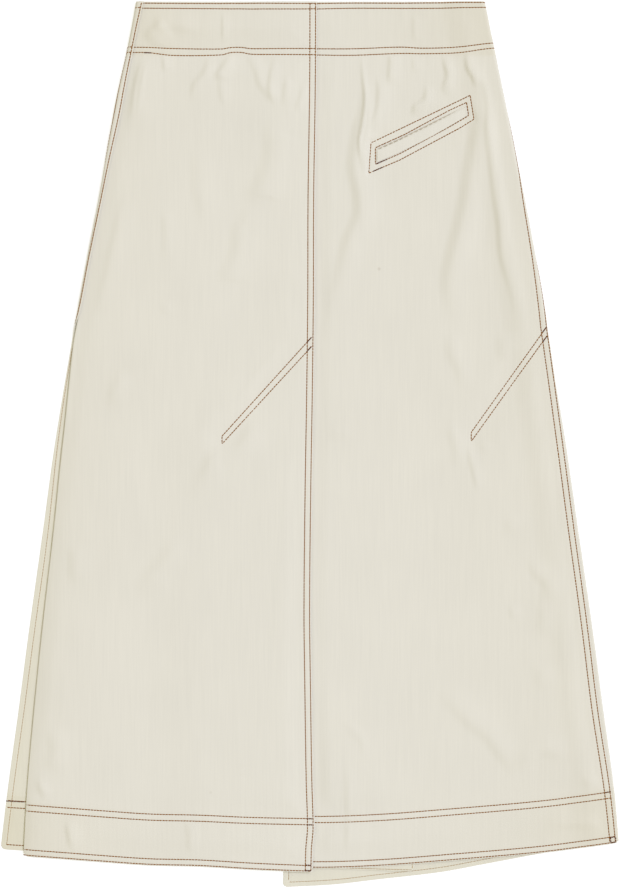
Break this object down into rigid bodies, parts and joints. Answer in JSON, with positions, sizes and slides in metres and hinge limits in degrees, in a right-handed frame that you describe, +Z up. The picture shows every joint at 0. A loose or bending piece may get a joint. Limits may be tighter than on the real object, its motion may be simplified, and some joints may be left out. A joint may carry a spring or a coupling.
{
  "type": "wrap skirt laid flat",
  "caption": "A-line midi wrap skirt of stiff ecru cotton, laid flat back up, with lapped panels, side and back vents, a deep hem and a slanted welt pocket.",
  "frame": {"origin": "middle of the laid skirt's outline, on the surface that it lies on", "axes": "+X to the right as it lies back up, +Y towards the waist, +Z up out of the surface"},
  "size_m": [0.6293, 0.9001, 0.0079],
  "materials": {
    "cotton_twill": "matt",
    "cotton_twill_inside": "matt",
    "topstitch_thread": "matt"
  },
  "bodies": {
    "root": {"back_left_panel": "cotton_twill", "back_right_panel": "cotton_twill", "front_right_panel": "cotton_twill_inside", "front_left_panel": "cotton_twill_inside", "pocket_welt": "cotton_twill"}
  },
  "joints": []
}
